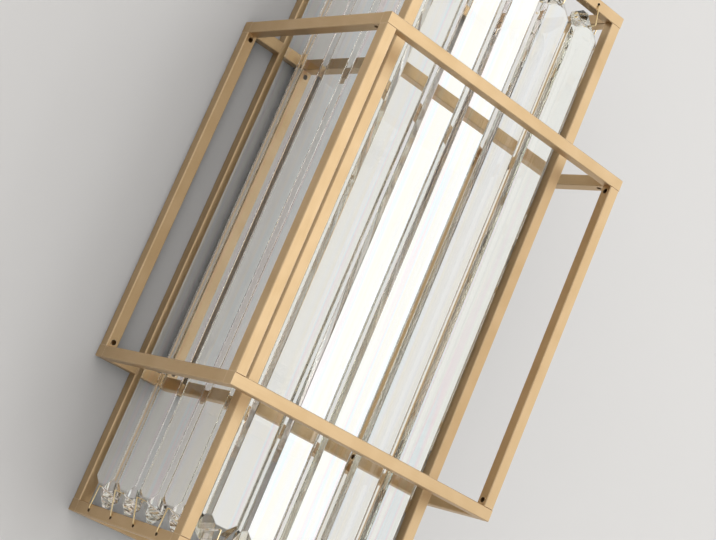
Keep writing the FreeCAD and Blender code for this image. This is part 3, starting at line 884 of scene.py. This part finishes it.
def lamp_filament(name):
    """The metal inside one lamp."""
    low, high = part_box(name)
    centre = (low + high) / 2
    coil_y = low.y + COIL_FROM_DOME
    wires = []
    for side in (-1, 1):
        route = [
            Vector((side * LEAD_SPREAD, high.y - LEAD_SETBACK, centre.z)),
            Vector((side * LEAD_SPREAD, coil_y, centre.z)),
            Vector((side * (LEAD_SPREAD - TIP_INWARD), coil_y - TIP_OUTWARD, centre.z)),
        ]
        wires.append(bent_wire(route, LEAD_RADIUS, LEAD_BEND))
    bpy.ops.mesh.primitive_circle_add(
        vertices=COIL_WIRE_SIDES, radius=COIL_WIRE, fill_type="NOTHING",
        location=(-COIL_HALF, coil_y - COIL_RADIUS, centre.z), rotation=(0, 0, math.pi / 2),
    )
    coil = bpy.context.object
    bpy.context.scene.cursor.location = (-COIL_HALF, coil_y, centre.z)
    bpy.ops.object.transform_apply(location=False, rotation=True, scale=False)
    bpy.ops.object.origin_set(type="ORIGIN_CURSOR")
    apply_modifier(
        coil, "SCREW", axis="X", angle=math.tau, screw_offset=COIL_PITCH, iterations=COIL_TURNS, steps=COIL_STEPS
    )
    metal = join([*wires, coil])
    select_only(metal)
    bpy.ops.object.shade_smooth_by_angle(angle=WIRE_SMOOTH_BELOW)
    finish_piece(metal, "filament_" + name, TUNGSTEN)
    return len(metal.data.polygons)


for name in ("lamp_upper", "lamp_lower"):
    print(name, "glass faces:", lamp_envelope(name), "filament faces:", lamp_filament(name))

# %% [markdown]
# ## Wall, floor and light
# The sconce hangs on a pale wall, so the wall is a stage plane just behind it, and it catches the soft shadow. Seen
# from behind, the wall lets the view through. The floor is a wall light's usual height below. A single lamp would be
# simpler, but polished flats show the shape of what lights them. One big softbox stands at the front right, and stops
# short of where the front flats would mirror it towards the camera. A narrow strip beside it shows in two of them, as
# the clean white of the photograph. A third box stands further round, and the rest is even light from the world. The
# softboxes don't show through glass, which keeps the bevels from clipping to white. Metal and glass mirror the same
# pale world that the camera sees.

# %% Stage planes
WALL_GAP = 0.6 * MM
STAGE_SIZE = 12.0
FLOOR_DROP = 1.5
WALL_COLOUR = (0.745, 0.75, 0.75)
FLOOR_COLOUR = (0.74, 0.74, 0.73)
MOTTLE = 0.985  # how dark the darkest clouds of the paint are, against its own colour


def stage_material(name, colour):
    """A matt surface that only shows on its front."""
    material, tree, shader = new_material(name, Roughness=0.9, Specular_IOR_Level=0.1)
    grain = add_grain(tree, (8.0, 8.0, 8.0))
    dim = tuple(MOTTLE * value for value in colour)
    tree.links.new(blend_colour(tree, grain.outputs["Lines"], dim, colour), shader.inputs["Base Color"])
    clear = node(tree, "ShaderNodeBsdfTransparent")
    side = node(tree, "ShaderNodeNewGeometry")
    mix = node(tree, "ShaderNodeMixShader")
    tree.links.new(side.outputs["Backfacing"], mix.inputs["Fac"])
    tree.links.new(shader.outputs[0], mix.inputs[1])
    tree.links.new(clear.outputs[0], mix.inputs[2])
    tree.links.new(mix.outputs[0], tree.nodes["Material Output"].inputs["Surface"])
    return material


def stage_plane(name, location, rotation, colour):
    """A big plane that isn't part of the object."""
    bpy.ops.mesh.primitive_plane_add(size=STAGE_SIZE, location=location, rotation=rotation)
    plane = bpy.context.object
    plane.name = name
    give_finish(plane, stage_material(name + "_paint", colour))


stage_plane("wall", (0, WALL_GAP, 0), (math.radians(90), 0, 0), WALL_COLOUR)
stage_plane("floor", (0, 0, -FLOOR_DROP), (0, 0, 0), FLOOR_COLOUR)
print("wall behind the origin in mm:", round(WALL_GAP / MM, 1), "floor below it in m:", FLOOR_DROP)

# %% Softboxes
COOL_WHITE = (0.97, 0.99, 1.0)
SOFTBOXES = {  # degrees round from the front, distance, height, width and height of the box, brightness
    "key_softbox": (17.2, 1.9, 0.55, (0.82, 1.6), 1.55),
    "strip_softbox": (33.7, 1.95, 0.55, (0.13, 1.6), 0.30),
    "side_softbox": (66, 2.4, 0.9, (1.3, 1.8), 1.2),
}


def softbox(name, azimuth, distance, height, size, radiance):
    """An upright rectangular area light that faces level towards the sconce, set by its brightness."""
    place = Vector((math.sin(azimuth) * distance, -math.cos(azimuth) * distance, height))
    bpy.ops.object.light_add(type="AREA", location=place)
    light = bpy.context.object
    light.name = name
    facing = Vector((place.x, place.y, 0)).normalized()
    light.rotation_euler = (-facing).to_track_quat("-Z", "Y").to_euler()
    light.data.shape = "RECTANGLE"
    light.data.size, light.data.size_y = size
    light.data.energy = radiance * math.pi * size[0] * size[1]
    light.data.color = COOL_WHITE
    light.visible_transmission = False
    print(name, "at", [round(value, 2) for value in place], "watts:", round(light.data.energy, 2))


for name, (degrees, *settings) in SOFTBOXES.items():
    softbox(name, math.radians(degrees), *settings)

# %% World: even light for the object, and one pale backdrop for the camera, metal and glass
AMBIENT = 0.92
BACKDROP = 0.85
AMBIENT_COLOUR = (1.0, 0.960, 0.930)
BACKDROP_COLOUR = (1.0, 1.0, 0.99)
world = bpy.data.worlds.new("studio")
bpy.context.scene.world = world
world.use_nodes = True
tree = world.node_tree
background = tree.nodes["Background"]
paths = node(tree, "ShaderNodeLightPath")
mirrored = node(tree, "ShaderNodeMath", operation="MAXIMUM")
tree.links.new(paths.outputs["Is Transmission Ray"], mirrored.inputs[0])
tree.links.new(paths.outputs["Is Glossy Ray"], mirrored.inputs[1])
seen = node(tree, "ShaderNodeMath", operation="MAXIMUM")
tree.links.new(paths.outputs["Is Camera Ray"], seen.inputs[0])
tree.links.new(mirrored.outputs[0], seen.inputs[1])
strength = node(tree, "ShaderNodeMapRange")
strength.inputs["To Min"].default_value = AMBIENT
strength.inputs["To Max"].default_value = BACKDROP
tree.links.new(seen.outputs[0], strength.inputs["Value"])
tree.links.new(strength.outputs["Result"], background.inputs["Strength"])
colour = blend_colour(tree, seen.outputs[0], AMBIENT_COLOUR, BACKDROP_COLOUR)
tree.links.new(colour, background.inputs["Color"])
print("even light:", AMBIENT, "backdrop:", BACKDROP)

# %% Render settings that belong to the look: light crosses many crystal faces before it gets out
MOST_BOUNCES = 32
CRYSTAL_BOUNCES = 24
scene = bpy.context.scene
scene.view_settings.view_transform = "Standard"
scene.cycles.max_bounces = MOST_BOUNCES
scene.cycles.transmission_bounces = CRYSTAL_BOUNCES
scene.cycles.glossy_bounces = CRYSTAL_BOUNCES
scene.cycles.caustics_reflective = False
print("view transform:", scene.view_settings.view_transform, "bounces:", scene.cycles.max_bounces)
